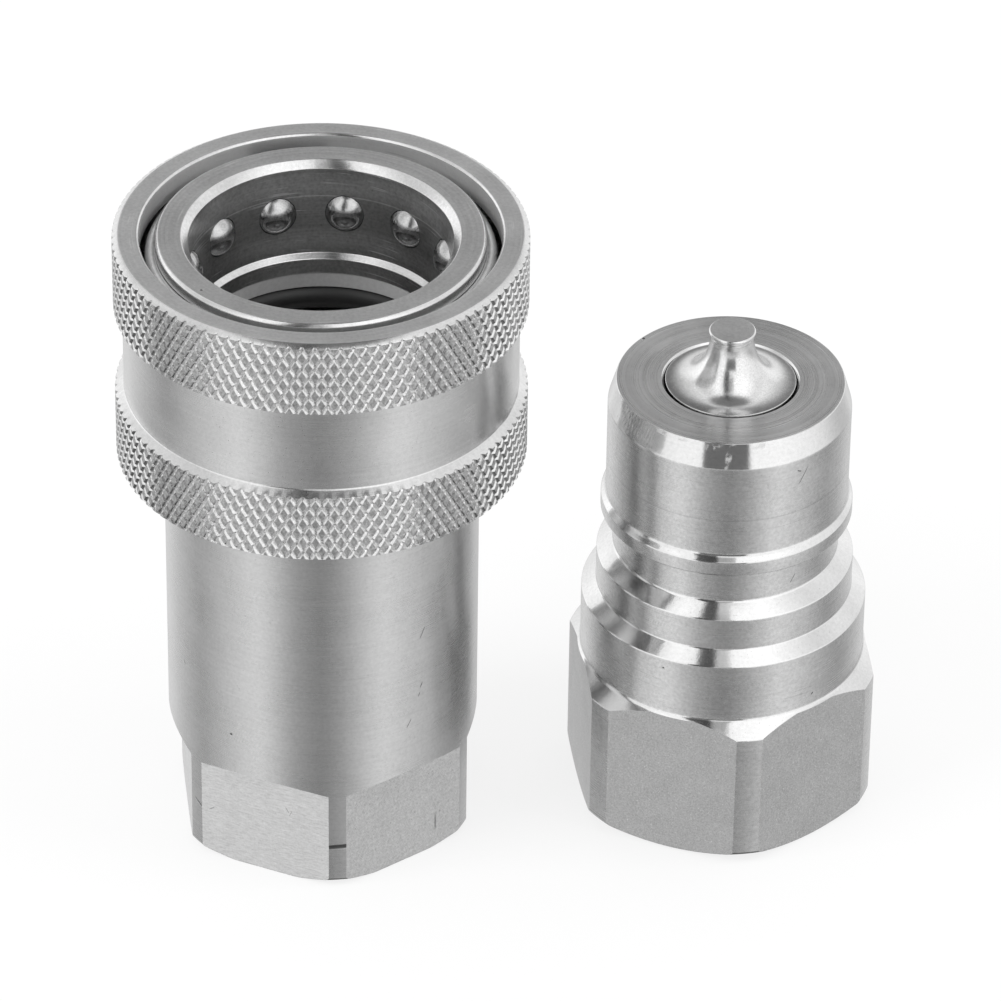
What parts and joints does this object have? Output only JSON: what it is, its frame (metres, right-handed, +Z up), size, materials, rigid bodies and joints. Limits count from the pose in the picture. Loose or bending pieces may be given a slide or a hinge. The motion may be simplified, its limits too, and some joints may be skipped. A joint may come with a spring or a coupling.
{
  "type": "hydraulic quick coupler",
  "caption": "Poppet-type hydraulic quick coupler: female socket with knurled ball-lock sleeve and its male plug, both with threaded hexagon ends, shown uncoupled side by side.",
  "frame": {"origin": "middle of the ground that the pair covers, in the plane that both halves stand on", "axes": "+Z up along both axes, +X from the socket towards the plug, +Y away from the camera of the picture"},
  "size_m": [0.0736, 0.0398, 0.0662],
  "materials": {
    "plated_steel": "satin zinc plate on turned steel",
    "turned_steel": "fine turned, bright",
    "spring_steel": "drawn wire, satin",
    "polished_steel": "polished bearing ball",
    "black_rubber": "matte, lightly oiled",
    "white_plastic": "smooth fluoropolymer"
  },
  "bodies": {
    "housings": {"socket_body": "plated_steel", "sleeve_retaining_ring": "spring_steel", "bore_seal_ring": "black_rubber", "backup_ring": "white_plastic", "sleeve_spring": "spring_steel", "socket_valve_guide": "plated_steel", "socket_guide_ring": "spring_steel", "socket_valve_spring": "spring_steel", "plug_body": "plated_steel", "plug_valve_guide": "plated_steel", "plug_guide_ring": "spring_steel", "plug_valve_spring": "spring_steel"},
    "sleeve": {"locking_sleeve": "plated_steel"},
    "socket_valve": {"socket_poppet": "turned_steel", "socket_poppet_seal": "black_rubber"},
    "plug_valve": {"plug_poppet": "turned_steel", "plug_poppet_seal": "black_rubber"},
    "ball_01": {"locking_ball_01": "polished_steel"},
    "ball_02": {"locking_ball_02": "polished_steel"},
    "ball_03": {"locking_ball_03": "polished_steel"},
    "ball_04": {"locking_ball_04": "polished_steel"},
    "ball_05": {"locking_ball_05": "polished_steel"},
    "ball_06": {"locking_ball_06": "polished_steel"},
    "ball_07": {"locking_ball_07": "polished_steel"},
    "ball_08": {"locking_ball_08": "polished_steel"},
    "ball_09": {"locking_ball_09": "polished_steel"},
    "ball_10": {"locking_ball_10": "polished_steel"},
    "ball_11": {"locking_ball_11": "polished_steel"},
    "ball_12": {"locking_ball_12": "polished_steel"}
  },
  "joints": [
    {"name": "sleeve_slide", "type": "slide", "parent": "housings", "child": "sleeve", "axis": [0, 0, -1], "range_m": [0, 0.007], "stiffness_N_per_m": 2000, "springref_m": -0.008, "deforming": ["sleeve_spring"]},
    {"name": "socket_poppet_slide", "type": "slide", "parent": "housings", "child": "socket_valve", "axis": [0, 0, -1], "range_m": [0, 0.0057], "stiffness_N_per_m": 2500, "springref_m": -0.006, "deforming": ["socket_valve_spring"]},
    {"name": "plug_poppet_slide", "type": "slide", "parent": "housings", "child": "plug_valve", "axis": [0, 0, -1], "range_m": [0, 0.0057], "stiffness_N_per_m": 2500, "springref_m": -0.006, "deforming": ["plug_valve_spring"]},
    {"name": "ball_01_slide", "type": "slide", "parent": "housings", "child": "ball_01", "axis": [0.9317, 0.3633, 0], "range_m": [0, 0.00096]},
    {"name": "ball_02_slide", "type": "slide", "parent": "housings", "child": "ball_02", "axis": [0.6252, 0.7804, 0], "range_m": [0, 0.00096]},
    {"name": "ball_03_slide", "type": "slide", "parent": "housings", "child": "ball_03", "axis": [0.1513, 0.9885, 0], "range_m": [0, 0.00096]},
    {"name": "ball_04_slide", "type": "slide", "parent": "housings", "child": "ball_04", "axis": [-0.3633, 0.9317, 0], "range_m": [0, 0.00096]},
    {"name": "ball_05_slide", "type": "slide", "parent": "housings", "child": "ball_05", "axis": [-0.7804, 0.6252, 0], "range_m": [0, 0.00096]},
    {"name": "ball_06_slide", "type": "slide", "parent": "housings", "child": "ball_06", "axis": [-0.9885, 0.1513, 0], "range_m": [0, 0.00096]},
    {"name": "ball_07_slide", "type": "slide", "parent": "housings", "child": "ball_07", "axis": [-0.9317, -0.3633, 0], "range_m": [0, 0.00096]},
    {"name": "ball_08_slide", "type": "slide", "parent": "housings", "child": "ball_08", "axis": [-0.6252, -0.7804, 0], "range_m": [0, 0.00096]},
    {"name": "ball_09_slide", "type": "slide", "parent": "housings", "child": "ball_09", "axis": [-0.1513, -0.9885, 0], "range_m": [0, 0.00096]},
    {"name": "ball_10_slide", "type": "slide", "parent": "housings", "child": "ball_10", "axis": [0.3633, -0.9317, 0], "range_m": [0, 0.00096]},
    {"name": "ball_11_slide", "type": "slide", "parent": "housings", "child": "ball_11", "axis": [0.7804, -0.6252, 0], "range_m": [0, 0.00096]},
    {"name": "ball_12_slide", "type": "slide", "parent": "housings", "child": "ball_12", "axis": [0.9885, -0.1513, 0], "range_m": [0, 0.00096]}
  ],
  "couplings": [
    {"joint": "ball_01_slide", "follows": "sleeve_slide", "ratio": 0.13714},
    {"joint": "ball_02_slide", "follows": "sleeve_slide", "ratio": 0.13714},
    {"joint": "ball_03_slide", "follows": "sleeve_slide", "ratio": 0.13714},
    {"joint": "ball_04_slide", "follows": "sleeve_slide", "ratio": 0.13714},
    {"joint": "ball_05_slide", "follows": "sleeve_slide", "ratio": 0.13714},
    {"joint": "ball_06_slide", "follows": "sleeve_slide", "ratio": 0.13714},
    {"joint": "ball_07_slide", "follows": "sleeve_slide", "ratio": 0.13714},
    {"joint": "ball_08_slide", "follows": "sleeve_slide", "ratio": 0.13714},
    {"joint": "ball_09_slide", "follows": "sleeve_slide", "ratio": 0.13714},
    {"joint": "ball_10_slide", "follows": "sleeve_slide", "ratio": 0.13714},
    {"joint": "ball_11_slide", "follows": "sleeve_slide", "ratio": 0.13714},
    {"joint": "ball_12_slide", "follows": "sleeve_slide", "ratio": 0.13714}
  ]
}
